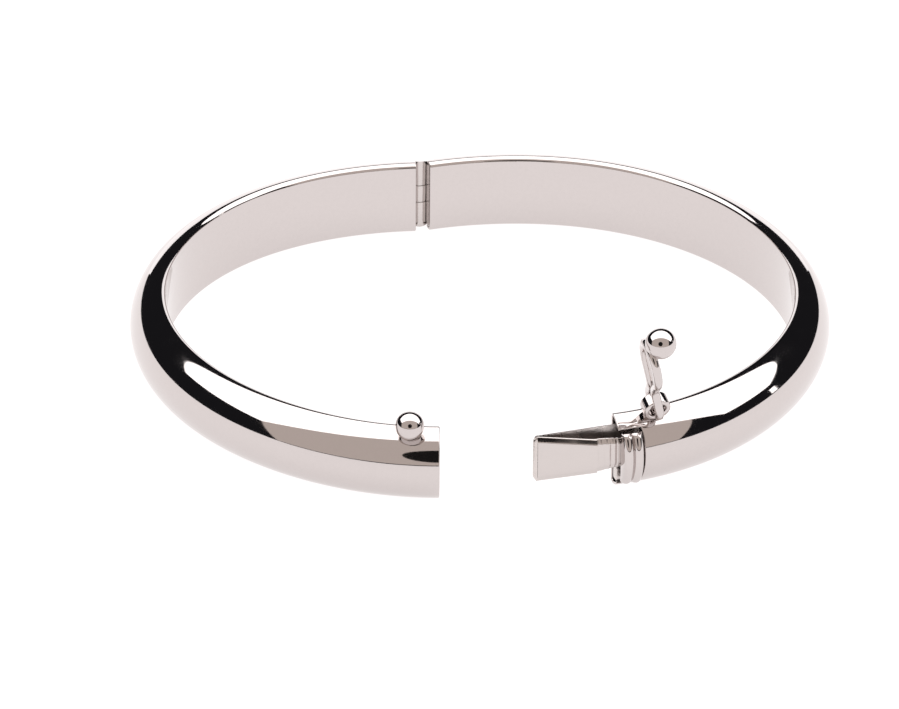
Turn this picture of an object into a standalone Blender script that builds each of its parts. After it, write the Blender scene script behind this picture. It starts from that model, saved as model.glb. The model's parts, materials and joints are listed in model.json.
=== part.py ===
"""Hinged oval bangle: two hollow D-section halves, a knuckle hinge at the back, and at the front a
folded spring tongue that snaps into a mouth block, guarded by a figure-eight safety wire that drops
over a catch ball.

The bangle is drawn closed. +X is across the wrist, +Y points from the clasp to the hinge, +Z is up,
and lengths are in millimetres until they become metres in vec(). Near the clasp a place is given as
(x, out, z), where out is the distance outwards from the inner face at the clasp.
"""

import math

import bmesh
import bpy
from mathutils import Matrix, Vector

MM = 0.001

# The inner face in plan: the support function of the oval.
MEAN_RADIUS = 28.8
OVALITY = -1.05
EGG = 0.27
FLANK = -0.05

# The D section of each half.
BAND_HEIGHT = 7.85
BAND_THICKNESS = 3.65
FLAT_HALF_HEIGHT = 2.95
RIM_ROUND = 0.4
RIM_LAND = 0.65
DOME_POWER = 1.9
WALL = 0.3
FIT = 0.05
PLUG_FIT = 0.1

# The hinge.
HINGE_OFFSET = math.radians(2.86)
PIVOT_DEPTH = 2.2
KNUCKLE_RADIUS = 1.05
KNUCKLE_HALF_HEIGHT = 4.1
KNUCKLE_INSET = 0.02
MIDDLE_HALF_HEIGHT = 0.93
KNUCKLE_GAP = 0.04
POCKET_RADIUS = 1.12
PIN_RADIUS = 0.35
PIN_HALF_LENGTH = 2.8
PIN_HOLE_RADIUS = 0.39
INNER_RELIEF = 0.43
INNER_RELIEF_OUT = -0.325
OUTER_RELIEF = math.radians(23.5)
HINGE_PLATE = (0.3, 1.6)
TAB_REACH = 1.4
TAB_OUT = (-0.75, -0.15)
TAB_HALF_HEIGHT = 2.3
OPEN_ANGLE = math.radians(16.25)

# The clasp.
HALF_GAP = 0.03
MOUTH_BLOCK = (0.08, 1.9)
MOUTH_FLOOR = 0.33
MOUTH_HALF = 2.57
MOUTH_RISE = (1.35, 3.0)
LIP_START = 1.9
LIP_EDGE = 2.4
LIP_HALF = 2.3
STRIP = 0.36
FOLD_X = -8.0
FOLD_OUT = 0.6
FOLD_RADIUS = 0.38
BASE_BEND_X = -0.2
BASE_BEND_OUT = 0.86
BASE_ROOT_X = 2.75
BASE_ROOT_OUT = 0.62
STEP_X = -2.13
STEP_TOP = 2.5
GROOVE_TOP = 2.28
GROOVE_END = 0.0
LEAF_ROOT_X = 2.4
LEAF_ROOT_TOP = 2.36
LEAF_ROOT_UNDER = 2.0
TONGUE_TIP_HALF = 2.5
TONGUE_END = 3.4
TONGUE_BOTTOM = -0.89
BASE_END_TOP = 3.11
LEAF_END_TOP = 1.65
TIP_CHAMFER = 0.35
END_PLATE = (2.82, 3.35)
NOTCH_END = 2.6
NOTCH_TOP = 2.95
NOTCH_BOTTOM = -3.35
NOTCH_FLOOR = 1.75
THUMB_XS = (0.4, 2.33)
THUMB_TURNS = (-0.92, 0.76)
THUMB_BACK = 2.39
THUMB_BACK_HALF = 2.0
RIDGE_XS = (0.87, 1.87)
RIDGE_RADIUS = 0.54
RIDGE_SINK = 0.14

# The safety catch.
BALL_X = -3.05
BALL_SEAT_RADIUS = 1.7
BALL_RADIUS = 1.48
BALL_LIFT = 1.51
BALL_FLAT = 0.1
PEG_RADIUS = 0.43
PEG_SPAN = (-0.75, 0.07)
PEG_HOLE_RADIUS = 0.47
EYE_X = 4.15
EYE_SEAT_RADIUS = 1.5
EYE_LIFT = 1.25
EYE_OUTER = 1.42
EYE_HOLE = 0.86
EYE_HALF_LENGTH = 0.75
EYE_FOOT = 0.04
SWING_TILT = math.radians(25.0)
PIVOT_DROP = 0.27
WIRE_RADIUS = 0.46
WIRE_SIDE = ((0.0, 0.0), (1.1, 0.08), (1.5, 0.8), (1.12, 2.15), (0.6, 3.5), (1.13, 4.85), (1.95, 6.4),
             (2.04, 7.9), (1.38, 9.3), (0.0, 9.85))
WIRE_SHIFT_END = 5.2
GROOVE_RADIUS = 0.5
BEAD_RADIUS = 1.58
BEAD_REACH = 10.35
BEAD_OFFSET = 1.2
REST_LEAN = math.radians(13.5)

PATH_STEPS = 44
SHARP_ANGLE = math.radians(30.0)
TALL = 12.0
WIDE = 6.0
UP = Vector((0.0, 0.0, 1.0))
ACROSS = {"left": -1, "right": 1}
LEFT_KNUCKLE_LOW = MIDDLE_HALF_HEIGHT + KNUCKLE_GAP
KNUCKLES = {
    "left": ((LEFT_KNUCKLE_LOW, KNUCKLE_HALF_HEIGHT), (-KNUCKLE_HALF_HEIGHT, -LEFT_KNUCKLE_LOW)),
    "right": ((-MIDDLE_HALF_HEIGHT, MIDDLE_HALF_HEIGHT),),
}


# ---------------------------------------------------------------- plan and section

def support(angle):
    """The oval's support function, its slope and its radius of curvature."""
    height = (MEAN_RADIUS + OVALITY * math.cos(2 * angle) + EGG * math.sin(3 * angle)
              + FLANK * math.sin(5 * angle))
    slope = (-2 * OVALITY * math.sin(2 * angle) + 3 * EGG * math.cos(3 * angle)
             + 5 * FLANK * math.cos(5 * angle))
    bend = (-4 * OVALITY * math.cos(2 * angle) - 9 * EGG * math.sin(3 * angle)
            - 25 * FLANK * math.sin(5 * angle))
    return height, slope, height + bend


def oval(angle):
    """A point of the inner face in plan, where the outward normal points at angle."""
    height, slope, _ = support(angle)
    return Vector((height * math.cos(angle) - slope * math.sin(angle),
                   height * math.sin(angle) + slope * math.cos(angle)))


def normal(angle):
    return Vector((math.cos(angle), math.sin(angle)))


CLASP_ANGLE = 1.5 * math.pi
HINGE_ANGLE = 0.5 * math.pi + HINGE_OFFSET
CLASP_FACE = support(CLASP_ANGLE)[0]
CLASP_BEND = support(CLASP_ANGLE)[2]
PIVOT = oval(HINGE_ANGLE) + normal(HINGE_ANGLE) * PIVOT_DEPTH


def bow(x):
    """How far the inner face has come in from the clasp's tangent at x."""
    return x * x / (2 * CLASP_BEND)


def vec(x, y, z=0.0):
    return Vector((x, y, z)) * MM


def at_clasp(x, out, z=0.0):
    return vec(x, -CLASP_FACE - out, z)


def dome_height(radius, inset=0.0):
    """Half the section's height at a distance from the inner face."""
    share = max(radius - RIM_ROUND, 0.0) / (BAND_THICKNESS - RIM_ROUND - inset)
    return (BAND_HEIGHT / 2 - inset) * max(1 - share ** DOME_POWER, 0.0) ** (1 / DOME_POWER)


def dome_point(turn, inset=0.0):
    """A point of the dome, from its top rim at a quarter turn to its middle at 0."""
    power = 2 / DOME_POWER
    across = (BAND_THICKNESS - RIM_ROUND - inset) * abs(math.cos(turn)) ** power
    up = (BAND_HEIGHT / 2 - inset) * abs(math.sin(turn)) ** power
    return RIM_ROUND + across, math.copysign(up, turn)


def section(inset=0.0, dome_steps=14, rim_steps=3):
    """The D section as (distance from the inner face, z), drawn inset from the outside."""
    top = BAND_HEIGHT / 2 - inset
    upper = [(inset, 0.0)]
    for step in range(rim_steps + 1):
        turn = step / rim_steps * math.pi / 2
        rise = (top - FLAT_HALF_HEIGHT) * math.sin(turn)
        upper.append((inset + (RIM_ROUND - inset) * (1 - math.cos(turn)), FLAT_HALF_HEIGHT + rise))
    upper.append((RIM_LAND, top))
    for step in range(1, dome_steps // 2 + 1):
        turn = math.pi / 2 * (1 - step / (dome_steps // 2))
        upper.append(dome_point(turn, inset))
    return upper + [(radius, -height) for radius, height in reversed(upper[1:-1])]


def path(first, last, steps, spare=0.0):
    """Points of the oval between two angles, run on straight past both ends by the spare length."""
    points = [oval(first + (last - first) * step / steps) for step in range(steps + 1)]
    if spare:
        way = math.copysign(spare, last - first)
        points.insert(0, points[0] - way * tangent(first))
        points.append(points[-1] + way * tangent(last))
    return points


def tangent(angle):
    return Vector((-math.sin(angle), math.cos(angle)))


def angle_past(angle, length):
    """The angle whose point of the oval lies a short length further on."""
    return angle + length / support(angle)[2]


# ---------------------------------------------------------------- Blender helpers

def clear_scene():
    for item in list(bpy.data.objects):
        bpy.data.objects.remove(item)


def new_collection(name):
    collection = bpy.data.collections.new(name)
    bpy.context.scene.collection.children.link(collection)
    return collection


def new_object(name, data, collection):
    item = bpy.data.objects.new(name, data)
    collection.objects.link(item)
    return item


def as_mesh(item, collection):
    """A mesh copy of a curve object, which takes its place."""
    bpy.context.view_layer.update()
    evaluated = item.evaluated_get(bpy.context.evaluated_depsgraph_get())
    mesh = bpy.data.meshes.new_from_object(evaluated)
    shape = bmesh.new()
    shape.from_mesh(mesh)
    bmesh.ops.remove_doubles(shape, verts=shape.verts, dist=0.001 * MM)
    bmesh.ops.recalc_face_normals(shape, faces=shape.faces)
    shape.to_mesh(mesh)
    shape.free()
    name, place = item.name, item.matrix_world.copy()
    bpy.data.objects.remove(item)
    solid = new_object(name, mesh, collection)
    solid.matrix_world = place
    return solid


def poly_curve(name, points, collection, closed=False):
    """A straight-sided curve object through points given in metres."""
    curve = bpy.data.curves.new(name, "CURVE")
    curve.dimensions = "3D"
    spline = curve.splines.new("POLY")
    spline.points.add(len(points) - 1)
    for corner, point in zip(spline.points, points):
        corner.co = (*point, 1.0)
    spline.use_cyclic_u = closed
    return new_object(name, curve, collection)


def swept(name, outline, spine, collection, capped):
    """A section swept along a plan curve: outline in (distance outwards, z), spine in (x, y)."""
    facing = 1 if spine[0].cross(spine[1]) > 0 else -1
    profile = poly_curve(name + "_profile", [vec(facing * r, z) for r, z in outline], collection, True)
    profile.data.dimensions = "2D"
    item = poly_curve(name, [vec(*point) for point in spine], collection)
    item.data.dimensions = "2D"
    item.data.fill_mode = "NONE"
    item.data.bevel_mode = "OBJECT"
    item.data.bevel_object = profile
    item.data.use_fill_caps = capped
    solid = as_mesh(item, collection)
    bpy.data.objects.remove(profile)
    return solid


def plate(name, outline, low, high, collection, upright=None):
    """A flat outline given in millimetres, made solid between two heights.

    upright gives the matrix that stands the outline up, for a plate that does not lie flat."""
    item = poly_curve(name, [vec(*point) for point in outline], collection, True)
    item.data.dimensions = "2D"
    item.data.fill_mode = "BOTH"
    item.data.extrude = (high - low) / 2 * MM
    lift = Matrix.Translation(vec(0, 0, (low + high) / 2))
    item.matrix_world = (upright or Matrix()) @ lift
    solid = as_mesh(item, collection)
    solid.data.transform(solid.matrix_world)
    solid.matrix_world = Matrix()
    return solid


def cylinder(name, radius, low, high, collection, sides=32):
    """A cylinder about Z, with its origin on its axis."""
    shape = bmesh.new()
    bmesh.ops.create_cone(shape, cap_ends=True, segments=sides, radius1=radius * MM,
                          radius2=radius * MM, depth=(high - low) * MM,
                          matrix=Matrix.Translation(vec(0, 0, (low + high) / 2)))
    mesh = bpy.data.meshes.new(name)
    shape.to_mesh(mesh)
    shape.free()
    return new_object(name, mesh, collection)


def ball(name, radius, collection, rings=18):
    shape = bmesh.new()
    bmesh.ops.create_uvsphere(shape, u_segments=2 * rings, v_segments=rings, radius=radius * MM)
    mesh = bpy.data.meshes.new(name)
    shape.to_mesh(mesh)
    shape.free()
    return new_object(name, mesh, collection)


def wire(name, points, radius, collection, closed=False):
    """A round wire through points in metres, smoothed between them."""
    curve = bpy.data.curves.new(name, "CURVE")
    curve.dimensions = "3D"
    curve.resolution_u = 4
    curve.bevel_depth = radius * MM
    curve.bevel_resolution = 3
    curve.use_fill_caps = True
    spline = curve.splines.new("BEZIER")
    spline.bezier_points.add(len(points) - 1)
    for knot, point in zip(spline.bezier_points, points):
        knot.co = point
        knot.handle_left_type = knot.handle_right_type = "AUTO"
    spline.use_cyclic_u = closed
    return new_object(name, curve, collection)


def cutter(item):
    item.hide_render = True
    item.display_type = "WIRE"
    for old in list(item.users_collection):
        old.objects.unlink(item)
    CUTTERS.objects.link(item)
    return item


def combine(target, tool, operation="DIFFERENCE"):
    """Cut, join or intersect a piece with a tool, which becomes a hidden cutter."""
    cut = target.modifiers.new(tool.name, "BOOLEAN")
    cut.operation = operation
    cut.solver = "EXACT"
    cut.object = cutter(tool)


def finish(item, material, parent):
    """Give a piece its material and smooth shading, and tie it and its cutters to an axis."""
    item.data.materials.clear()
    item.data.materials.append(material)
    item.data.shade_smooth()
    item.data.set_sharp_from_angle(angle=SHARP_ANGLE)
    attach(item, parent)
    for modifier in item.modifiers:
        if modifier.type == "BOOLEAN":
            attach(modifier.object, parent)


def attach(item, parent):
    """Parent a piece to an axis without moving it."""
    item.parent = parent
    item.matrix_parent_inverse = parent.matrix_world.inverted()


def axis_empty(name, frame, parent=None):
    """An empty on a joint's axis, in the closed bangle."""
    item = new_object(name, None, PARTS)
    item.empty_display_size = 2 * MM
    item.matrix_world = frame
    bpy.context.view_layer.update()
    if parent:
        attach(item, parent)
        bpy.context.view_layer.update()
    return item


def metal(name, color, roughness):
    material = bpy.data.materials.new(name)
    material.use_nodes = True
    shader = material.node_tree.nodes["Principled BSDF"]
    shader.inputs["Base Color"].default_value = (*color, 1.0)
    shader.inputs["Metallic"].default_value = 1.0
    shader.inputs["Roughness"].default_value = roughness
    return material


# ---------------------------------------------------------------- bands and hinge

def hinge_frame():
    """The pivot's frame in plan: X along the band towards the right half, Y outwards."""
    along, out = -tangent(HINGE_ANGLE), normal(HINGE_ANGLE)
    turn = Matrix(((along.x, out.x, 0), (along.y, out.y, 0), (0, 0, 1))).to_4x4()
    return Matrix.Translation(vec(*PIVOT)) @ turn


def hinge_relief(name, side):
    """What is cut from one half at the hinge: straight inside the pivot, and outside it sloped back
    so that the halves can open."""
    outline = [(-WIDE, -WIDE), (INNER_RELIEF, -WIDE), (INNER_RELIEF, INNER_RELIEF_OUT), (FIT, 0.0),
               (FIT + WIDE * math.tan(OUTER_RELIEF), WIDE), (-WIDE, WIDE)]
    item = plate(name, [(along * ACROSS[side], out) for along, out in outline], -TALL, TALL, CUTTERS)
    item.matrix_world = hinge_frame()
    return item


def round_cut(name, radius):
    """A round cutter along the hinge pin's axis."""
    item = cylinder(name, radius, -TALL, TALL, CUTTERS)
    item.matrix_world = hinge_frame()
    return item


def band(side):
    """One hollow half, open at both ends."""
    end = {"left": CLASP_ANGLE, "right": CLASP_ANGLE - 2 * math.pi}[side]
    spine = path(HINGE_ANGLE, end, PATH_STEPS, spare=1.5)
    item = swept(side + "_band", section(), spine, PARTS, capped=False)
    shell = item.modifiers.new("wall", "SOLIDIFY")
    shell.thickness = WALL * MM
    shell.offset = -1.0
    shell.use_even_offset = True
    combine(item, hinge_relief(side + "_band_relief", side))
    combine(item, round_cut(side + "_band_pocket", POCKET_RADIUS))
    near, far = HALF_GAP * ACROSS[side], -WIDE * ACROSS[side]
    corners = [(near, -WIDE), (far, -WIDE), (far, WIDE), (near, WIDE)]
    end_cut = plate(side + "_end_cut", corners, -TALL, TALL, CUTTERS)
    end_cut.matrix_world = Matrix.Translation(at_clasp(0, 0))
    combine(item, end_cut)
    return item


def plug(name, first, last, steps):
    """A solid D-shaped block that fills a half between two angles."""
    outline = section(WALL + PLUG_FIT, dome_steps=12, rim_steps=2)
    return swept(name, outline, path(first, last, steps), PARTS, capped=True)


def clasp_plug(name, side, span):
    """A plug a little way along a half from its clasp end."""
    way = ACROSS[side]
    start = CLASP_ANGLE if side == "left" else CLASP_ANGLE - 2 * math.pi
    return plug(name, angle_past(start, way * span[0]), angle_past(start, way * span[1]), 3)


def hinge_plate(side):
    """The plate that closes a half at the hinge and carries its knuckles."""
    near, far = (angle_past(HINGE_ANGLE, -ACROSS[side] * length) for length in HINGE_PLATE)
    item = plug(side + "_hinge_plate", near, far, 1)
    combine(item, hinge_relief(side + "_plate_relief", side))
    combine(item, round_cut(side + "_plate_pocket", POCKET_RADIUS))
    for number, span in enumerate(KNUCKLES[side]):
        combine(item, tab(f"{side}_tab_slot_{number}", side, *tab_span(*span), FIT))
    return item


def tab_span(low, high):
    """The heights a knuckle's tab runs between."""
    return max(low, -TAB_HALF_HEIGHT), min(high, TAB_HALF_HEIGHT)


def tab(name, side, low, high, grow=0.0):
    """The flat tab that joins a knuckle to its half's hinge plate, or the slot it goes through."""
    far = TAB_REACH + grow
    low_out, high_out = TAB_OUT[0] - grow, TAB_OUT[1] + grow
    corners = [(0.0, low_out), (far, low_out), (far, high_out), (0.0, high_out)]
    outline = [(along * ACROSS[side], out) for along, out in corners]
    item = plate(name, outline, low - grow, high + grow, CUTTERS)
    item.matrix_world = hinge_frame()
    return item


def knuckle(name, side, low, high):
    """A knuckle, cut flush with the dome, and the tab that ties it to its half's plate."""
    item = cylinder(name, KNUCKLE_RADIUS, low, high, PARTS)
    item.matrix_world = hinge_frame()
    ends = [angle_past(HINGE_ANGLE, length) for length in (-WIDE, WIDE)]
    dome = swept(name + "_dome", section(KNUCKLE_INSET), path(*ends, 8), CUTTERS, capped=True)
    combine(item, dome, "INTERSECT")
    combine(item, tab(name + "_tab", side, *tab_span(low, high)), "UNION")
    combine(item, round_cut(name + "_bore", PIN_HOLE_RADIUS))
    return item


def hinge_pin():
    item = cylinder("hinge_pin", PIN_RADIUS, -PIN_HALF_LENGTH, PIN_HALF_LENGTH, PARTS, sides=24)
    item.matrix_world = hinge_frame()
    return item


# ---------------------------------------------------------------- clasp

def across_clasp(name, outline, low, high, collection):
    """A plate whose outline is in (out, z), made solid between two places along X."""
    turn = Matrix(((0, 0, -1), (-1, 0, 0), (0, 1, 0))).to_4x4()
    stand = Matrix.Translation(at_clasp(0, 0)) @ turn
    return plate(name, outline, -high, -low, collection, upright=stand)


def mouth_block():
    """The block in the left half's mouth, with the slot and the lip that holds the tongue."""
    item = clasp_plug("clasp_mouth_block", "left", MOUTH_BLOCK)
    rise_out, rise_top = MOUTH_RISE
    slot = [(MOUTH_FLOOR, -MOUTH_HALF), (MOUTH_FLOOR, rise_top), (rise_out, rise_top),
            (rise_out, MOUTH_HALF), (LIP_START, MOUTH_HALF),
            (LIP_EDGE, LIP_HALF), (LIP_EDGE, -LIP_HALF), (LIP_START, -MOUTH_HALF)]
    combine(item, across_clasp("mouth_slot", slot, -WIDE, WIDE, CUTTERS))
    return item


def tongue_side_view(name, end_top):
    """A leaf's outline from the front, which tapers it towards its root."""
    tip = FOLD_X - FOLD_RADIUS - FIT
    outline = [(tip, TONGUE_TIP_HALF - TIP_CHAMFER), (tip + TIP_CHAMFER, TONGUE_TIP_HALF),
               (TONGUE_END, end_top), (TONGUE_END, TONGUE_BOTTOM), (tip + TIP_CHAMFER, -TONGUE_TIP_HALF),
               (tip, TIP_CHAMFER - TONGUE_TIP_HALF)]
    stand = Matrix.Translation(at_clasp(0, 0)) @ Matrix.Rotation(math.pi / 2, 4, "X")
    return plate(name, outline, -WIDE, WIDE, CUTTERS, upright=stand)


def tongue_plate(name, outline, end_top):
    """A strip of the tongue: its plan outline in (x, out), cut to the tongue's side view."""
    item = plate(name, [(x, -CLASP_FACE - out) for x, out in outline], -WIDE, WIDE, PARTS)
    combine(item, tongue_side_view(name + "_side", end_top), "INTERSECT")
    return item


def base_leaf():
    """The fixed leaf of the folded tongue, with the fold at its tip."""
    half = STRIP / 2
    arc_steps = 8
    fold = []
    for step in range(arc_steps + 1):
        turn = -math.pi / 2 - step / arc_steps * math.pi
        fold.append((FOLD_X + FOLD_RADIUS * math.cos(turn), FOLD_OUT + FOLD_RADIUS * math.sin(turn)))
    inner = [(BASE_ROOT_X, BASE_ROOT_OUT - half), (BASE_BEND_X, BASE_BEND_OUT - half)]
    outer = [(FOLD_X, FOLD_OUT), (BASE_BEND_X, BASE_BEND_OUT + half), (BASE_ROOT_X, BASE_ROOT_OUT + half)]
    return tongue_plate("tongue_base_leaf", inner + fold + outer, BASE_END_TOP)


def spring_leaf():
    """The moving leaf, with the step that hooks behind the mouth's lip."""
    start, top = FOLD_X + 0.03, FOLD_OUT + FOLD_RADIUS
    outer = [(start, top), (STEP_X, STEP_TOP), (STEP_X, GROOVE_TOP), (GROOVE_END, GROOVE_TOP),
             (GROOVE_END + 0.08, LEAF_ROOT_TOP), (LEAF_ROOT_X, LEAF_ROOT_TOP)]
    inner = [(LEAF_ROOT_X, LEAF_ROOT_UNDER), (STEP_X + 0.3, GROOVE_TOP - STRIP),
             (STEP_X - 0.5, GROOVE_TOP - STRIP), (start, top - STRIP)]
    return tongue_plate("spring_leaf", outer + inner, LEAF_END_TOP)


def notch():
    """The window in the right half's dome that the thumb piece works in."""
    outline = [(NOTCH_FLOOR, NOTCH_BOTTOM), (WIDE, NOTCH_BOTTOM), (WIDE, NOTCH_TOP),
               (NOTCH_FLOOR, NOTCH_TOP)]
    return across_clasp("thumb_notch", outline, -2.0, NOTCH_END, CUTTERS)


def thumb_piece():
    """The thumb piece: a saddle on the leaf's root, with two round ridges over the dome."""
    low, high = THUMB_TURNS
    steps = 12
    arc = [dome_point(low + (high - low) * step / steps) for step in range(steps + 1)]
    outline = arc + [(THUMB_BACK, THUMB_BACK_HALF), (THUMB_BACK, -THUMB_BACK_HALF)]
    item = across_clasp("thumb_piece", outline, *THUMB_XS, PARTS)
    for number, x in enumerate(RIDGE_XS):
        spine = [at_clasp(x, out - RIDGE_SINK, z) for out, z in arc[::2]]
        ridge = as_mesh(wire(f"thumb_ridge_{number}", spine, RIDGE_RADIUS, CUTTERS), CUTTERS)
        combine(item, ridge, "UNION")
    return item


# ---------------------------------------------------------------- safety catch

def shoulder(x, radius):
    """A place on the dome's shoulder near the clasp, and the dome's outward direction there."""
    step = 0.01
    slope = (dome_height(radius + step) - dome_height(radius - step)) / (2 * step)
    place = at_clasp(x, radius - bow(x), dome_height(radius))
    return place, Vector((0.0, slope, 1.0)).normalized()


def seat_frame(x, radius, lift=0.0):
    """A frame on the dome's shoulder: X across the wrist, Z straight out of the dome."""
    place, up = shoulder(x, radius)
    side = Vector((1.0, 0.0, 0.0))
    turn = Matrix((side, up.cross(side), up)).transposed().to_4x4()
    return Matrix.Translation(place + up * lift * MM) @ turn


def catch_ball():
    """The ball the safety wire drops over, flattened where it sits on the dome."""
    item = ball("catch_ball", BALL_RADIUS, PARTS)
    item.matrix_world = seat_frame(BALL_X, BALL_SEAT_RADIUS, BALL_LIFT)
    flat = cylinder("ball_flat", BALL_RADIUS, -1.0, BALL_FLAT, CUTTERS)
    flat.matrix_world = seat_frame(BALL_X, BALL_SEAT_RADIUS)
    combine(item, flat)
    return item


def catch_peg(name, radius, span, collection):
    """The peg that holds the catch ball in the left half, or the hole for it."""
    item = cylinder(name, radius, *span, collection, sides=24)
    item.matrix_world = seat_frame(BALL_X, BALL_SEAT_RADIUS)
    return item


def swing_frames():
    """The frames of the safety eye and of the wire's pivot, and the catch ball's centre.

    X is the swing axis, outwards and down. Y is away from the catch ball. Z is along the wire when
    it stands square, and a positive turn about X swings the wire onto the ball."""
    centre = seat_frame(EYE_X, EYE_SEAT_RADIUS, EYE_LIFT).translation
    target = seat_frame(BALL_X, BALL_SEAT_RADIUS, BALL_LIFT).translation
    back = centre - target
    back.z = 0.0
    back.normalize()
    axis = back.cross(UP) * math.cos(SWING_TILT) - UP * math.sin(SWING_TILT)
    rise = axis.cross(back)
    turn = Matrix((axis, back, rise)).transposed().to_4x4()
    eye = Matrix.Translation(centre) @ turn
    pivot = Matrix.Translation(centre - rise * PIVOT_DROP * MM) @ turn
    return eye, pivot, target


def safety_eye():
    """The ring that the safety wire swings in, with its foot cut flat where it is soldered."""
    lie = swing_frames()[0] @ Matrix.Rotation(math.pi / 2, 4, "Y")
    item = cylinder("safety_eye", EYE_OUTER, -EYE_HALF_LENGTH, EYE_HALF_LENGTH, PARTS, sides=40)
    item.matrix_world = lie
    hole = cylinder("eye_hole", EYE_HOLE, -3.0, 3.0, CUTTERS)
    hole.matrix_world = lie
    combine(item, hole)
    foot = cylinder("eye_foot", 4.0, -2.0, EYE_FOOT, CUTTERS)
    foot.matrix_world = seat_frame(EYE_X, EYE_SEAT_RADIUS)
    combine(item, foot)
    return item


def safety_wire():
    """The figure-eight wire and the bead on its tip, at the lean they are left at."""
    _, pivot, target = swing_frames()
    lean = pivot @ Matrix.Rotation(REST_LEAN, 4, "X")
    shift = (pivot.inverted() @ target).x / MM
    ring = list(WIRE_SIDE) + [(-across, along) for across, along in reversed(WIRE_SIDE[1:-1])]
    points = []
    for across, along in ring:
        share = min(along / WIRE_SHIFT_END, 1.0)
        points.append(lean @ vec(across + shift * share, 0, along))
    loop = as_mesh(wire("safety_wire", points, WIRE_RADIUS, PARTS, closed=True), PARTS)
    bead = ball("safety_tip_bead", BEAD_RADIUS, PARTS)
    bead.matrix_world = lean @ Matrix.Translation(vec(shift, BEAD_OFFSET, BEAD_REACH))
    groove = wire("bead_groove", points, GROOVE_RADIUS, CUTTERS, closed=True)
    combine(bead, as_mesh(groove, CUTTERS))
    return loop, bead


# ---------------------------------------------------------------- assembly

clear_scene()
PARTS = new_collection("hinged_bangle")
CUTTERS = new_collection("cutters")


def assemble():
    polished = metal("polished_white_gold", (0.86, 0.82, 0.81), 0.06)
    satin = metal("filed_white_gold", (0.78, 0.74, 0.73), 0.22)
    swing = swing_frames()[1]
    root = axis_empty("bangle", Matrix())
    hinge = axis_empty("hinge_axis", hinge_frame(), root)
    leaf = axis_empty("leaf_axis", Matrix.Translation(at_clasp(FOLD_X, FOLD_OUT)), hinge)
    safety = axis_empty("safety_axis", swing, hinge)

    left_band = band("left")
    combine(left_band, catch_peg("peg_hole", PEG_HOLE_RADIUS, (-1.0, 1.0), CUTTERS))
    finish(left_band, polished, root)
    finish(hinge_plate("left"), satin, root)
    for name, (low, high) in zip(("hinge_knuckle_upper", "hinge_knuckle_lower"), KNUCKLES["left"]):
        finish(knuckle(name, "left", low, high), satin, root)
    finish(hinge_pin(), satin, root)
    finish(mouth_block(), satin, root)
    finish(catch_peg("catch_peg", PEG_RADIUS, PEG_SPAN, PARTS), satin, root)
    finish(catch_ball(), polished, root)

    right_band = band("right")
    combine(right_band, notch())
    finish(right_band, polished, hinge)
    finish(hinge_plate("right"), satin, hinge)
    finish(knuckle("hinge_knuckle_middle", "right", *KNUCKLES["right"][0]), satin, hinge)
    finish(clasp_plug("tongue_end_plate", "right", END_PLATE), satin, hinge)
    finish(base_leaf(), satin, hinge)
    finish(safety_eye(), polished, hinge)

    finish(spring_leaf(), satin, leaf)
    finish(thumb_piece(), polished, leaf)
    figure_eight, bead = safety_wire()
    finish(figure_eight, polished, safety)
    finish(bead, polished, safety)

    hinge.matrix_world = hinge.matrix_world @ Matrix.Rotation(OPEN_ANGLE, 4, "Z")
    stand_on_origin(root)


def stand_on_origin(root):
    """Move the whole bangle so that its box stands on the origin, centred."""
    bpy.context.view_layer.update()
    graph = bpy.context.evaluated_depsgraph_get()
    corners = []
    for item in PARTS.objects:
        if item.type == "MESH":
            solid = item.evaluated_get(graph)
            corners += [solid.matrix_world @ vertex.co for vertex in solid.data.vertices]
    low = [min(corner[axis] for corner in corners) for axis in range(3)]
    high = [max(corner[axis] for corner in corners) for axis in range(3)]
    root.location = (-(low[0] + high[0]) / 2, -(low[1] + high[1]) / 2, -low[2])


assemble()
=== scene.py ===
"""Looks for the hinged bangle: mirror-polished white gold on fine meshes that stand for the CAD solids.

Shapes are drawn with the bangle closed: +X across the wrist, +Y from the clasp to the hinge, +Z up, in
millimetres. Near the clasp a place is (x, out, z), with out the distance outwards from the inner face.
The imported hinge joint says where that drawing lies, and how far the right half has been opened.
"""

import json
import math

import bmesh
import bpy
from mathutils import Matrix, Vector


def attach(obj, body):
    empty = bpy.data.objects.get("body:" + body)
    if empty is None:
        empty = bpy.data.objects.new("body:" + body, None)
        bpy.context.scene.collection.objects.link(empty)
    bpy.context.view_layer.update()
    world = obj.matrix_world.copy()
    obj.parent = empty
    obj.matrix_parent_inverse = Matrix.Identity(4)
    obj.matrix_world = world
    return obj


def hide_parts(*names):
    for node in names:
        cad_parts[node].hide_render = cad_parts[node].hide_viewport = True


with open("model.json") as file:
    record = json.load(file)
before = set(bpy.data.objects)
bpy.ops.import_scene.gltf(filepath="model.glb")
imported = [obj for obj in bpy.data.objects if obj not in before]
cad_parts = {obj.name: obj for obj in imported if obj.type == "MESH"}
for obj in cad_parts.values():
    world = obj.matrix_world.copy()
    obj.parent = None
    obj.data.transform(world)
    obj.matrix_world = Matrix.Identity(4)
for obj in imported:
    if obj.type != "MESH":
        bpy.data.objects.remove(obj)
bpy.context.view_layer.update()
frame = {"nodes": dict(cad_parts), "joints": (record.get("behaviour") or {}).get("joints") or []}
JOINTS = {joint["name"]: joint for joint in frame["joints"]}
MM = 0.001

# The oval of the inner face, as a support function.
MEAN_RADIUS = 28.8
OVALITY = -1.05
EGG = 0.27
FLANK = -0.05

# The D section.
BAND_HEIGHT = 7.85
BAND_THICKNESS = 3.65
RIM_ROUND = 0.4
DOME_POWER = 1.9
WALL = 0.3
RIM_EASE = (0.62, 0.5)
RIM_EDGE = 0.11
SHARP_ANGLE = math.radians(35.0)
BEVEL_ANGLE = math.radians(50.0)

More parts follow.
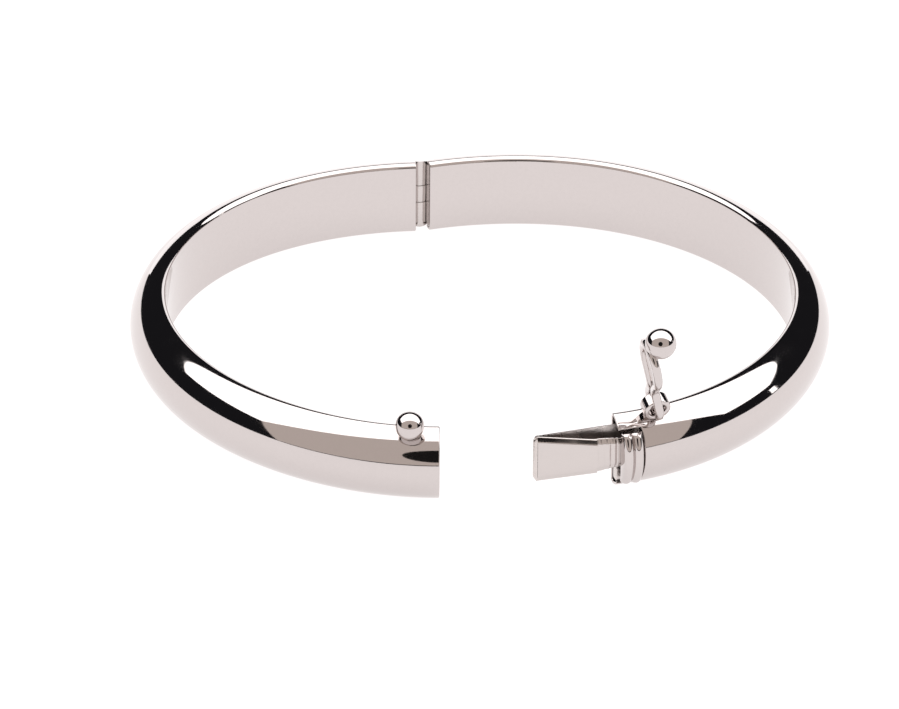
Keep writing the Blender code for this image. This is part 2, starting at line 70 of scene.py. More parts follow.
# The hinge.
HINGE_OFFSET = math.radians(2.86)
PIVOT_DEPTH = 2.2
FIT = 0.05
INNER_RELIEF = 0.43
INNER_RELIEF_OUT = -0.325
OUTER_RELIEF = math.radians(23.5)
POCKET_RADIUS = 1.12
KNUCKLE_RADIUS = 1.05
KNUCKLE_HALF_HEIGHT = 4.1
KNUCKLE_INSET = 0.02
KNUCKLE_SWEEP = 0.1
MIDDLE_HALF_HEIGHT = 0.93
KNUCKLE_GAP = 0.04
PIN_RADIUS = 0.35
PIN_HALF_LENGTH = 2.8
TAB_REACH = 1.4
TAB_OUT = (-0.75, -0.15)
TAB_ROOT = 0.5
TAB_HALF_HEIGHT = 2.3
TURNED_EDGE = 0.04
PIN_EDGE = 0.06
FIRST_STATION = 1.4

# The clasp.
HALF_GAP = 0.03
STRIP = 0.36
FOLD_X = -8.0
FOLD_OUT = 0.6
FOLD_RADIUS = 0.38
BASE_BEND_X = -0.2
BASE_BEND_OUT = 0.86
BASE_ROOT_X = 2.75
BASE_ROOT_OUT = 0.62
STEP_X = -2.13
STEP_TOP = 2.5
GROOVE_TOP = 2.28
GROOVE_END = 0.0
LEAF_START_GAP = 0.03
STEP_SLOPE = 0.04
STEP_BACKING = (0.5, 0.3)
GROOVE_SLOPE = 0.08
LEAF_ROOT_X = 2.4
LEAF_ROOT_TOP = 2.36
LEAF_ROOT_UNDER = 2.0
TONGUE_TIP_HALF = 2.5
TONGUE_END = 3.4
TONGUE_BOTTOM = -0.89
BASE_END_TOP = 3.11
LEAF_END_TOP = 1.65
TIP_CHAMFER = 0.35
FOLD_HEART = 0.04
FOLD_EDGE = ((0.0, 0.26), (0.01, 0.208), (0.034, 0.158), (0.084, 0.104), (0.16, 0.056), (0.273, 0.0165),
             (0.42, 0.0))
LEAF_EDGE = ((0.0, 0.3), (0.02, 0.26), (0.06, 0.225), (0.12, 0.195), (0.44, 0.062), (0.56, 0.022),
             (0.72, 0.0))
FILE_MARK_DEPTH = 0.045
FILE_MARK_PITCH = 0.62
ROOT_SOLDER_XS = (0.12, 2.7)
ROOT_SOLDER_OUT = (0.5, 1.68)
ROOT_SOLDER_ZS = (-3.25, -1.6)
ROOT_SOLDER_ROUND = 0.3
ROOT_SOLDER_EDGE = 0.1
NOTCH_END = 2.6
NOTCH_TOP = 2.95
NOTCH_BOTTOM = -3.35
THUMB_XS = (0.4, 2.33)
THUMB_TURNS = (-0.92, 0.76)
THUMB_BACK = 2.39
THUMB_BACK_HALF = 2.0
RIDGE_XS = (0.87, 1.87)
RIDGE_RADIUS = 0.54
RIDGE_SINK = 0.14
THUMB_SIDE = 0.07
THUMB_END_SHARE = 0.12
THUMB_END_DROP = 0.12
THUMB_EDGE = 0.05

# The safety catch.
BALL_X = -3.05
BALL_SEAT_RADIUS = 1.7
BALL_RADIUS = 1.48
BALL_LIFT = 1.51
COLLAR_NECK = 0.5
COLLAR_FOOT = 0.78
COLLAR_SINK = -0.02
COLLAR_RISE = 0.12
EYE_X = 4.15
EYE_SEAT_RADIUS = 1.5
EYE_LIFT = 1.25
EYE_OUTER = 1.42
EYE_HOLE = 0.86
EYE_HALF_LENGTH = 0.75
EYE_ROUND = 0.2
EYE_FOOT = 0.04
SWING_TILT = math.radians(25.0)
PIVOT_DROP = 0.27
WIRE_RADIUS = 0.46
WIRE_SIDE = ((0.0, 0.0), (1.1, 0.08), (1.5, 0.8), (1.12, 2.15), (0.6, 3.5), (1.13, 4.85), (1.95, 6.4),
             (2.04, 7.9), (1.38, 9.3), (0.0, 9.85))
WIRE_SHIFT_END = 5.2
BEAD_RADIUS = 1.58
BEAD_REACH = 10.35
BEAD_OFFSET = 1.2
REST_LEAN = math.radians(13.5)

# The camera, which looks down at the bangle from the clasp side.
CAMERA_ELEVATION = math.radians(26.55)
CAMERA_AZIMUTH = math.radians(-0.73)
CAMERA_DISTANCE = 1626.0
CAMERA_LENS = 638.9
CAMERA_ROLL = 0.006
AIM_FROM_HINGE = (3.27, -38.32)

# The studio, in metres.
SOFTBOX_HEIGHT = 0.6
SOFTBOX_X = (-1.14, 1.962)
SOFTBOX_Y = (-0.258, 0.6)
SHEET_RIGHT = 0.84
SHEET_FOOT_Y = -0.5316
SHEET_FOOT_Z = 0.02
BACK_CARD_HALF = 0.07
BACK_CARD_Y = 0.095
BACK_CARD_HEIGHT = 0.045
BACK_CARD_BEND = 0.01
BACK_CARD_DROP = 0.03
SIDE_STRIP_ENDS = ((0.483, 0.125), (0.491, 0.099))
SIDE_STRIP_Z = (0.017, 0.088)
CAMERA_BODY_RADIUS = 0.105
CAMERA_BODY_DISTANCE = 0.4
CAMERA_BODY_ELEVATION = math.radians(24.0)
FLOOR_HALF = 4.0

UP = Vector((0.0, 0.0, 1.0))
CLASP_ANGLE = 1.5 * math.pi
HINGE_ANGLE = 0.5 * math.pi + HINGE_OFFSET
ACROSS = {"left": -1, "right": 1}


# ---------------------------------------------------------------- plan and section

def support(angle):
    """The oval's support function, its slope and its radius of curvature."""
    height = (MEAN_RADIUS + OVALITY * math.cos(2 * angle) + EGG * math.sin(3 * angle)
              + FLANK * math.sin(5 * angle))
    slope = (-2 * OVALITY * math.sin(2 * angle) + 3 * EGG * math.cos(3 * angle)
             + 5 * FLANK * math.cos(5 * angle))
    bend = (-4 * OVALITY * math.cos(2 * angle) - 9 * EGG * math.sin(3 * angle)
            - 25 * FLANK * math.sin(5 * angle))
    return height, slope, height + bend


def oval(angle):
    height, slope, _ = support(angle)
    return Vector((height * math.cos(angle) - slope * math.sin(angle),
                   height * math.sin(angle) + slope * math.cos(angle)))


def normal(angle):
    return Vector((math.cos(angle), math.sin(angle)))


def tangent(angle):
    return Vector((-math.sin(angle), math.cos(angle)))


def vec(x, y, z=0.0):
    return Vector((x, y, z)) * MM


CLASP_FACE = support(CLASP_ANGLE)[0]
CLASP_BEND = support(CLASP_ANGLE)[2]
PIVOT = oval(HINGE_ANGLE) + normal(HINGE_ANGLE) * PIVOT_DEPTH


def at_clasp(x, out, z=0.0):
    return vec(x, -CLASP_FACE - out, z)


def dome_height(radius):
    share = max(radius - RIM_ROUND, 0.0) / (BAND_THICKNESS - RIM_ROUND)
    return BAND_HEIGHT / 2 * max(1 - share ** DOME_POWER, 0.0) ** (1 / DOME_POWER)


def dome_point(turn):
    """A point of the dome, from its top rim at a quarter turn to its middle at 0."""
    power = 2 / DOME_POWER
    across = (BAND_THICKNESS - RIM_ROUND) * abs(math.cos(turn)) ** power
    up = BAND_HEIGHT / 2 * abs(math.sin(turn)) ** power
    return RIM_ROUND + across, math.copysign(up, turn)


def dome_turn(height):
    """The turn at which the dome is at a height."""
    share = (abs(height) / (BAND_HEIGHT / 2)) ** (DOME_POWER / 2)
    return math.copysign(math.asin(share), height)


def spread(first, last, steps):
    """Evenly spaced values from first up to, but not including, last."""
    return [first + (last - first) * step / steps for step in range(steps)]


# ---------------------------------------------------------------- where the drawing lies

PLACE = {}
hinge_place = Vector(JOINTS["bangle_hinge"]["pos_m"])
open_angle = -math.radians(JOINTS["bangle_hinge"]["range_deg"][0])
PLACE["left"] = Matrix.Translation(hinge_place - vec(*PIVOT))
PLACE["right"] = (Matrix.Translation(hinge_place) @ Matrix.Rotation(open_angle, 4, "Z")
                  @ Matrix.Translation(-vec(*PIVOT)))


# ---------------------------------------------------------------- mesh helpers

def mesh_object(name, shape):
    mesh = bpy.data.meshes.new(name)
    shape.to_mesh(mesh)
    shape.free()
    item = bpy.data.objects.new(name, mesh)
    bpy.context.scene.collection.objects.link(item)
    return item


def skin(name, rows, wrap_rows=False, wrap_points=False, keep=None, caps=False):
    """A quad skin over rows of points in metres. keep(row, point) says which cells are left in."""
    shape = bmesh.new()
    grid = [[shape.verts.new(point) for point in row] for row in rows]
    row_cells = len(rows) if wrap_rows else len(rows) - 1
    point_cells = len(rows[0]) if wrap_points else len(rows[0]) - 1
    for row in range(row_cells):
        for point in range(point_cells):
            if keep and not keep(row, point):
                continue
            after, across = (row + 1) % len(rows), (point + 1) % len(rows[0])
            shape.faces.new((grid[row][point], grid[row][across], grid[after][across], grid[after][point]))
    if caps:
        shape.faces.new(grid[0])
        shape.faces.new(reversed(grid[-1]))
    loose = [vertex for vertex in shape.verts if not vertex.link_faces]
    bmesh.ops.delete(shape, geom=loose, context="VERTS")
    bmesh.ops.recalc_face_normals(shape, faces=shape.faces)
    return mesh_object(name, shape)


def lathe(name, outline, frame_matrix, sides=96):
    """A solid of revolution about Z: outline is (radius, height) from its bottom to its top, and where
    the outline meets the axis the skin closes on a point."""
    shape = bmesh.new()
    rings = []
    for radius, height in outline:
        if radius < 1e-6:
            rings.append([shape.verts.new(vec(0, 0, height))])
        else:
            rings.append([shape.verts.new(vec(radius * math.cos(2 * math.pi * side / sides),
                                              radius * math.sin(2 * math.pi * side / sides), height))
                          for side in range(sides)])
    for lower, upper in zip(rings, rings[1:]):
        for side in range(sides):
            after = (side + 1) % sides
            corners = [lower[side % len(lower)], lower[after % len(lower)],
                       upper[after % len(upper)], upper[side % len(upper)]]
            shape.faces.new(list(dict.fromkeys(corners)))
    bmesh.ops.transform(shape, matrix=frame_matrix, verts=shape.verts)
    bmesh.ops.recalc_face_normals(shape, faces=shape.faces)
    return mesh_object(name, shape)


def ring_lathe(name, outline, frame_matrix, sides=96):
    """A ring of revolution about Z from a closed outline of (radius, height)."""
    rows = []
    for side in range(sides):
        turn = 2 * math.pi * side / sides
        rows.append([frame_matrix @ vec(radius * math.cos(turn), radius * math.sin(turn), height)
                     for radius, height in outline])
    return skin(name, rows, wrap_rows=True, wrap_points=True)


def rounded_box(low_u, high_u, low_v, high_v, radius, steps=6):
    """The closed outline of a rectangle with round corners."""
    outline = []
    corners = ((high_u, low_v, -90), (high_u, high_v, 0), (low_u, high_v, 90), (low_u, low_v, 180))
    for u, v, start in corners:
        centre_u = u - math.copysign(radius, u - (low_u + high_u) / 2)
        centre_v = v - math.copysign(radius, v - (low_v + high_v) / 2)
        for step in range(steps + 1):
            turn = math.radians(start + 90 * step / steps)
            outline.append((centre_u + radius * math.cos(turn), centre_v + radius * math.sin(turn)))
    return outline


def closed_tube(name, points, radius):
    """A round wire joined end to end, smoothed between its points in metres."""
    curve = bpy.data.curves.new(name, "CURVE")
    curve.dimensions = "3D"
    curve.resolution_u = 14
    curve.bevel_depth = radius * MM
    curve.bevel_resolution = 9
    spline = curve.splines.new("BEZIER")
    spline.bezier_points.add(len(points) - 1)
    for knot, point in zip(spline.bezier_points, points):
        knot.co = point
        knot.handle_left_type = knot.handle_right_type = "AUTO"
    spline.use_cyclic_u = True
    source = bpy.data.objects.new(name + "_curve", curve)
    bpy.context.scene.collection.objects.link(source)
    bpy.context.view_layer.update()
    mesh = bpy.data.meshes.new_from_object(source.evaluated_get(bpy.context.evaluated_depsgraph_get()))
    bpy.data.objects.remove(source)
    shape = bmesh.new()
    shape.from_mesh(mesh)
    bmesh.ops.remove_doubles(shape, verts=shape.verts, dist=0.0005 * MM)
    bmesh.ops.recalc_face_normals(shape, faces=shape.faces)
    return mesh_object(name, shape)


def plate(name, outline, low, high, stand=Matrix()):
    """A flat outline in millimetres, made solid between two heights and stood up by a matrix."""
    shape = bmesh.new()
    floor = [shape.verts.new(stand @ vec(u, v, low)) for u, v in outline]
    roof = [shape.verts.new(stand @ vec(u, v, high)) for u, v in outline]
    shape.faces.new(floor)
    shape.faces.new(roof)
    for corner in range(len(outline)):
        after = (corner + 1) % len(outline)
        shape.faces.new((floor[corner], floor[after], roof[after], roof[corner]))
    bmesh.ops.recalc_face_normals(shape, faces=shape.faces)
    return mesh_object(name, shape)


def apply_modifiers(item):
    bpy.context.view_layer.update()
    mesh = bpy.data.meshes.new_from_object(item.evaluated_get(bpy.context.evaluated_depsgraph_get()))
    item.modifiers.clear()
    item.data = mesh


def combine(item, tool, operation="DIFFERENCE"):
    cut = item.modifiers.new("cut", "BOOLEAN")
    cut.operation = operation
    cut.solver = "EXACT"
    cut.object = tool
    apply_modifiers(item)
    bpy.data.objects.remove(tool)


def round_edges(item, width):
    bevel = item.modifiers.new("edges", "BEVEL")
    bevel.width = width * MM
    bevel.segments = 3
    bevel.limit_method = "ANGLE"
    bevel.angle_limit = BEVEL_ANGLE
    bevel.harden_normals = True
    bevel.use_clamp_overlap = True


def finish(item, material, body, slot, *nodes, place):
    """Move a drawn piece to its place, give it its material, and tie it to its body and CAD nodes."""
    item.data.transform(place)
    item.data.materials.clear()
    item.data.materials.append(material)
    item.data.shade_smooth()
    item.data.set_sharp_from_angle(angle=SHARP_ANGLE)
    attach(item, body)
    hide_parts(*nodes)


# ---------------------------------------------------------------- materials

def link(tree, source, target):
    tree.links.new(source, target)


def metal(name, color, roughness, spread_of_roughness, scratches, scratch_stretch, depth=0.004):
    """Polished metal: cloudy polish, fine scratches and darker spots where the polish has dulled."""
    material = bpy.data.materials.new(name)
    material.use_nodes = True
    tree = material.node_tree
    shader = tree.nodes["Principled BSDF"]
    shader.inputs["Metallic"].default_value = 1.0
    place = tree.nodes.new("ShaderNodeTexCoord")

    cloud = tree.nodes.new("ShaderNodeTexNoise")
    cloud.inputs["Scale"].default_value = 420.0
    cloud.inputs["Detail"].default_value = 5.0
    link(tree, place.outputs["Object"], cloud.inputs["Vector"])

    stretch = tree.nodes.new("ShaderNodeMapping")
    stretch.inputs["Scale"].default_value = scratch_stretch
    link(tree, place.outputs["Object"], stretch.inputs["Vector"])
    fine = tree.nodes.new("ShaderNodeTexNoise")
    fine.inputs["Scale"].default_value = 2600.0
    fine.inputs["Detail"].default_value = 8.0
    fine.inputs["Roughness"].default_value = 0.7
    link(tree, stretch.outputs["Vector"], fine.inputs["Vector"])

    dull = tree.nodes.new("ShaderNodeMapRange")
    dull.inputs["From Min"].default_value = 0.35
    dull.inputs["From Max"].default_value = 0.75
    dull.inputs["To Min"].default_value = roughness
    dull.inputs["To Max"].default_value = roughness + spread_of_roughness
    link(tree, cloud.outputs["Fac"], dull.inputs["Value"])
    link(tree, dull.outputs["Result"], shader.inputs["Roughness"])

    tint = tree.nodes.new("ShaderNodeMix")
    tint.data_type = "RGBA"
    tint.inputs["A"].default_value = (*color, 1.0)
    tint.inputs["B"].default_value = (*[channel * 0.94 for channel in color], 1.0)
    link(tree, fine.outputs["Fac"], tint.inputs["Factor"])
    link(tree, tint.outputs["Result"], shader.inputs["Base Color"])

    bump = tree.nodes.new("ShaderNodeBump")
    bump.inputs["Strength"].default_value = scratches
    bump.inputs["Distance"].default_value = depth * MM
    link(tree, fine.outputs["Fac"], bump.inputs["Height"])
    link(tree, bump.outputs["Normal"], shader.inputs["Normal"])
    return material


POLISHED = metal("polished_white_gold", (0.62, 0.575, 0.565), 0.03, 0.05, 0.08, (1.0, 1.0, 1.0))
FILED = metal("filed_white_gold", (0.62, 0.575, 0.56), 0.1, 0.14, 0.6, (0.3, 0.3, 2.0))
WORN = metal("worn_white_gold", (0.66, 0.61, 0.59), 0.2, 0.2, 1.0, (0.5, 0.5, 0.7), depth=0.05)
POLISHED_SLOT = "polished_white_gold"
FILED_SLOT = "filed_white_gold"


# ---------------------------------------------------------------- the two halves

def section_turns():
    """Turns of the dome's points, with one at each edge of the thumb window."""
    top, bottom = dome_turn(NOTCH_TOP), dome_turn(NOTCH_BOTTOM)
    quarter = math.pi / 2
    return spread(quarter, top, 14) + spread(top, bottom, 44) + spread(bottom, -quarter, 10)


def section():
    """The D section as (distance from the inner face, z), from the middle of the inner face, up over
    the upper rim, and round the dome to the lower rim. Also the places of the window's edges in it."""
    rim_width, rim_rise = RIM_EASE
    top = dome_height(rim_width)
    rim_steps = 10
    rim = []
    for step in range(rim_steps + 1):
        turn = step / rim_steps * math.pi / 2
        rim.append((rim_width * (1 - math.cos(turn)), top - rim_rise * (1 - math.sin(turn))))
    flat = [(0.0, z) for z in spread(0.0, top - rim_rise, 6)]
    dome = [dome_point(turn) for turn in section_turns() if dome_point(turn)[0] > rim_width + 0.02]
    lower = [(radius, -z) for radius, z in reversed(rim)]
    back = [(0.0, -z) for _, z in reversed(flat[1:])]
    points = flat + rim + dome + lower + back
    window = [points.index(dome_point(dome_turn(height))) for height in (NOTCH_TOP, NOTCH_BOTTOM)]
    return points, window


def hinge_reach(radius):
    """How far the band's end stands back from the pivot plane at a distance from the inner face."""
    out = radius - PIVOT_DEPTH
    if out < INNER_RELIEF_OUT:
        reach = INNER_RELIEF
    elif out < 0:
        reach = FIT + (INNER_RELIEF - FIT) * out / INNER_RELIEF_OUT
    else:
        reach = FIT + out * math.tan(OUTER_RELIEF)
    if abs(out) < POCKET_RADIUS:
        reach = max(reach, math.sqrt(POCKET_RADIUS ** 2 - out ** 2))
    return reach


def band(side):
    """One hollow half: the section at stations from the hinge to the clasp, with the thumb window's
    cells left out of the right one, thickened inwards."""
    way = -ACROSS[side]
    points, window = section()
    last = CLASP_ANGLE if side == "left" else CLASP_ANGLE - 2 * math.pi
    first = HINGE_ANGLE + way * FIRST_STATION / support(HINGE_ANGLE)[2]
    notch = last - way * math.asin(NOTCH_END / (CLASP_BEND + BAND_THICKNESS))
    window_steps = 8
    angles = [HINGE_ANGLE] + spread(first, notch, 230) + spread(notch, last, window_steps) + [last]
    rows = []
    for number, angle in enumerate(angles):
        centre, out, along = oval(angle), normal(angle), tangent(angle)
        row = []
        for radius, z in points:
            place = centre + out * radius
            if number == 0:
                place = place + along * way * hinge_reach(radius)
            if number == len(angles) - 1:
                place.x = ACROSS[side] * HALF_GAP
            row.append(vec(*place, z))
        rows.append(row)
    window_row = len(angles) - 2 - window_steps

    def keep(row, point):
        return side == "left" or row <= window_row or not window[0] <= point < window[1]

    item = skin(side + "_shell", rows, wrap_points=True, keep=keep)
    shell = item.modifiers.new("wall", "SOLIDIFY")
    shell.thickness = WALL * MM
    shell.offset = -1.0
    shell.use_even_offset = True
    apply_modifiers(item)
    round_edges(item, RIM_EDGE)
    finish(item, POLISHED, side + "_half", POLISHED_SLOT, side + "_band", place=PLACE[side])


# ---------------------------------------------------------------- the catch

def seat_frame(x, radius, lift=0.0):
    """A frame on the dome's shoulder: X across the wrist, Z straight out of the dome."""
    step = 0.01
    slope = (dome_height(radius + step) - dome_height(radius - step)) / (2 * step)
    up = Vector((0.0, slope, 1.0)).normalized()
    side = Vector((1.0, 0.0, 0.0))
    turn = Matrix((side, up.cross(side), up)).transposed().to_4x4()
    bow = x * x / (2 * CLASP_BEND)
    place = at_clasp(x, radius - bow, dome_height(radius))
    return Matrix.Translation(place + up * lift * MM) @ turn


def catch_ball():
    """The ball, with the low collar of solder that it sits in."""
    outline = [(0.0, -0.1), (COLLAR_FOOT, -0.1), (COLLAR_FOOT, COLLAR_SINK)]
    for step in range(1, 7):
        turn = math.radians(90 * step / 6)
        outline.append((COLLAR_FOOT - (COLLAR_FOOT - COLLAR_NECK) * math.sin(turn),
                        COLLAR_SINK + COLLAR_RISE * (1 - math.cos(turn))))
    start = math.asin(COLLAR_NECK / BALL_RADIUS)
    steps = 48
    for step in range(steps + 1):
        turn = start + (math.pi - start) * step / steps
        outline.append((BALL_RADIUS * max(math.sin(turn), 0.0), BALL_LIFT - BALL_RADIUS * math.cos(turn)))
    outline[-1] = (0.0, BALL_LIFT + BALL_RADIUS)
    item = lathe("catch_ball_polished", outline, seat_frame(BALL_X, BALL_SEAT_RADIUS))
    finish(item, POLISHED, "left_half", POLISHED_SLOT, "catch_ball", place=PLACE["left"])


def swing_frames():
    """The frames of the safety eye and of the wire's pivot, and the catch ball's centre."""
    centre = seat_frame(EYE_X, EYE_SEAT_RADIUS, EYE_LIFT).translation
    target = seat_frame(BALL_X, BALL_SEAT_RADIUS, BALL_LIFT).translation
    back = centre - target
    back.z = 0.0
    back.normalize()
    axis = back.cross(UP) * math.cos(SWING_TILT) - UP * math.sin(SWING_TILT)
    rise = axis.cross(back)
    turn = Matrix((axis, back, rise)).transposed().to_4x4()
    eye = Matrix.Translation(centre) @ turn
    pivot = Matrix.Translation(centre - rise * PIVOT_DROP * MM) @ turn
    return eye, pivot, target


def safety_eye():
    """The soldered ring, a short thick tube with its edges rolled over, cut flat at its foot."""
    lie = swing_frames()[0] @ Matrix.Rotation(math.pi / 2, 4, "Y")
    outline = rounded_box(EYE_HOLE, EYE_OUTER, -EYE_HALF_LENGTH, EYE_HALF_LENGTH, EYE_ROUND)
    item = ring_lathe("safety_eye_polished", outline, lie)
    cut = lathe("eye_foot_cut", [(0.0, -3.0), (4.0, -3.0), (4.0, EYE_FOOT), (0.0, EYE_FOOT)],
                seat_frame(EYE_X, EYE_SEAT_RADIUS))
    combine(item, cut)
    finish(item, POLISHED, "right_half", POLISHED_SLOT, "safety_eye", place=PLACE["right"])


def safety_wire():
    """The figure-eight wire and the bead on its tip."""
    _, pivot, target = swing_frames()
    lean = pivot @ Matrix.Rotation(REST_LEAN, 4, "X")
    shift = (pivot.inverted() @ target).x / MM
    ring = list(WIRE_SIDE) + [(-across, along) for across, along in reversed(WIRE_SIDE[1:-1])]
    points = []
    for across, along in ring:
        share = min(along / WIRE_SHIFT_END, 1.0)
        points.append(lean @ vec(across + shift * share, 0, along))
    item = closed_tube("safety_wire_polished", points, WIRE_RADIUS)
    finish(item, POLISHED, "safety", POLISHED_SLOT, "safety_wire", place=PLACE["right"])

    turns = spread(0.0, math.pi, 64)[1:]
    outline = [(BEAD_RADIUS * math.sin(turn), -BEAD_RADIUS * math.cos(turn)) for turn in turns]
    outline = [(0.0, -BEAD_RADIUS)] + outline + [(0.0, BEAD_RADIUS)]
    centre = lean @ Matrix.Translation(vec(shift, BEAD_OFFSET, BEAD_REACH))
    bead = lathe("safety_tip_bead_polished", outline, centre, sides=128)
    finish(bead, POLISHED, "safety", POLISHED_SLOT, "safety_tip_bead", place=PLACE["right"])


# ---------------------------------------------------------------- the tongue

def leaf_heights(x, end_top):
    """A leaf's lowest and highest z at x: clipped at the tip, and tapering towards the root."""
    clip = FOLD_X - FOLD_RADIUS - FIT + TIP_CHAMFER
    share = max(x - clip, 0.0) / (TONGUE_END - clip)
    cut = max(clip - x, 0.0)
    return (-TONGUE_TIP_HALF + (TONGUE_BOTTOM + TONGUE_TIP_HALF) * share + cut,
            TONGUE_TIP_HALF + (end_top - TONGUE_TIP_HALF) * share - cut)


def tongue_strip(name, outside, inside, end_top, edge, material, body, node):
    """A leaf lofted between its outside and inside lines in (x, out). Its outside edges follow edge,
    whose points are the height from the leaf's edge and the depth under its face."""
    rows = []
    for (x, out), (far_x, far_out) in zip(outside, inside):
        low, high = leaf_heights(x, end_top)
        inward = Vector((far_x - x, far_out - out)).normalized()
        lower, upper = [], []
        for rise, depth in edge:
            lower.append((x + inward.x * depth, out + inward.y * depth, low + rise))
            upper.append((x + inward.x * depth, out + inward.y * depth, high - rise))
        ring = lower + upper[::-1] + [(far_x, far_out, high), (far_x, far_out, low)]
        rows.append([at_clasp(*corner) for corner in ring])
    item = skin(name, rows, wrap_points=True, caps=True)
    finish(item, material, body, FILED_SLOT, node, place=PLACE["right"])


def base_leaf():
    """The fixed leaf, and the fold at the tongue's tip."""
    half = STRIP / 2
    outside = [(BASE_ROOT_X, BASE_ROOT_OUT - half), (BASE_BEND_X, BASE_BEND_OUT - half)]
    inside = [(BASE_ROOT_X, BASE_ROOT_OUT + half), (BASE_BEND_X, BASE_BEND_OUT + half)]
    for step in range(25):
        turn = -math.pi / 2 - step / 24 * math.pi
        outside.append((FOLD_X + FOLD_RADIUS * math.cos(turn), FOLD_OUT + FOLD_RADIUS * math.sin(turn)))
        inside.append((FOLD_X + FOLD_HEART * math.cos(turn), FOLD_OUT + FOLD_HEART * math.sin(turn)))
    tongue_strip("tongue_base_polished", outside, inside, BASE_END_TOP, FOLD_EDGE, WORN, "right_half",
                 "tongue_base_leaf")


def along_line(line, x):
    """The height of a line of (x, height) points at x."""
    for (x0, height0), (x1, height1) in zip(line, line[1:]):
        if x <= x1:
            return height0 + (height1 - height0) * (x - x0) / (x1 - x0)
    return line[-1][1]


def spring_leaf():
    """The moving leaf: the step that hooks behind the mouth's lip, and the filed recess behind it."""
    start, top = FOLD_X + LEAF_START_GAP, FOLD_OUT + FOLD_RADIUS
    before, behind = STEP_BACKING
    upper = [(start, top), (STEP_X, STEP_TOP), (STEP_X + STEP_SLOPE, GROOVE_TOP), (GROOVE_END, GROOVE_TOP),
             (GROOVE_END + GROOVE_SLOPE, LEAF_ROOT_TOP), (LEAF_ROOT_X, LEAF_ROOT_TOP)]
    under = [(start, top - STRIP), (STEP_X - before, GROOVE_TOP - STRIP),
             (STEP_X + behind, GROOVE_TOP - STRIP), (LEAF_ROOT_X, LEAF_ROOT_UNDER)]
    xs = spread(start, STEP_X, 24) + spread(STEP_X, GROOVE_END, 72) + spread(GROOVE_END, LEAF_ROOT_X, 30)
    outside, inside = [], []
    for x in xs + [LEAF_ROOT_X]:
        file_mark = 0.0
        if STEP_X + 0.1 < x < GROOVE_END:
            file_mark = FILE_MARK_DEPTH * (1 - math.cos(2 * math.pi * (x - STEP_X) / FILE_MARK_PITCH)) / 2
        outside.append((x, along_line(upper, x) - file_mark))
        inside.append((x, along_line(under, x)))
    tongue_strip("spring_leaf_polished", outside, inside, LEAF_END_TOP, LEAF_EDGE, FILED, "spring_tongue",
                 "spring_leaf")


def tongue_root():
    """The solder that fills the tube under the tongue's root, in front of the end plate."""
    low, high = ROOT_SOLDER_ZS
    stand = Matrix.Translation(at_clasp(0, 0)) @ Matrix(((0, 0, 1), (-1, 0, 0), (0, 1, 0))).to_4x4()
    outline = rounded_box(*ROOT_SOLDER_OUT, low, high, ROOT_SOLDER_ROUND)
    item = plate("tongue_root_solder", outline, *ROOT_SOLDER_XS, stand)
    round_edges(item, ROOT_SOLDER_EDGE)
    finish(item, WORN, "right_half", FILED_SLOT, place=PLACE["right"])


def ridge_height(x):
    """How far the thumb piece stands over the dome's line at x."""
    height = 0.0
    for ridge in RIDGE_XS:
        if abs(x - ridge) < RIDGE_RADIUS:
            height = max(height, math.sqrt(RIDGE_RADIUS ** 2 - (x - ridge) ** 2) - RIDGE_SINK)
    return height


def thumb_piece():
    """A saddle over the leaf's root with two round ridges, their ends rounded off."""
    low, high = THUMB_TURNS
    steps = 48
    first_x, last_x = THUMB_XS[0] - THUMB_SIDE, THUMB_XS[1] + THUMB_SIDE
    xs = spread(first_x, last_x, 56) + [last_x]
    rows = []
    for step in range(steps + 1):
        share = step / steps
        turn = low + (high - low) * share
        out, z = dome_point(turn)
        away = Vector(dome_point(turn + 0.01)) - Vector(dome_point(turn - 0.01))
        away = Vector((away.y, -away.x)).normalized()
        end = min(share, 1 - share) / THUMB_END_SHARE
        rounding = math.sqrt(max(1 - (1 - min(end, 1.0)) ** 2, 0.0))
        row = []
        for x in xs:
            lift = ridge_height(x) * rounding - THUMB_END_DROP * (1 - rounding)
            row.append(at_clasp(x, out + away.x * lift, z + away.y * lift))
        back_z = -THUMB_BACK_HALF + 2 * THUMB_BACK_HALF * share
        row.append(at_clasp(xs[-1], THUMB_BACK, back_z))
        row.append(at_clasp(xs[0], THUMB_BACK, back_z))
        rows.append(row)
    item = skin("thumb_piece_polished", rows, wrap_points=True, caps=True)
    round_edges(item, THUMB_EDGE)
    finish(item, POLISHED, "spring_tongue", POLISHED_SLOT, "thumb_piece", place=PLACE["right"])


# ---------------------------------------------------------------- the hinge

def hinge_frame():
    along, out = -tangent(HINGE_ANGLE), normal(HINGE_ANGLE)
    turn = Matrix(((along.x, out.x, 0), (along.y, out.y, 0), (0, 0, 1))).to_4x4()
    return Matrix.Translation(vec(*PIVOT)) @ turn


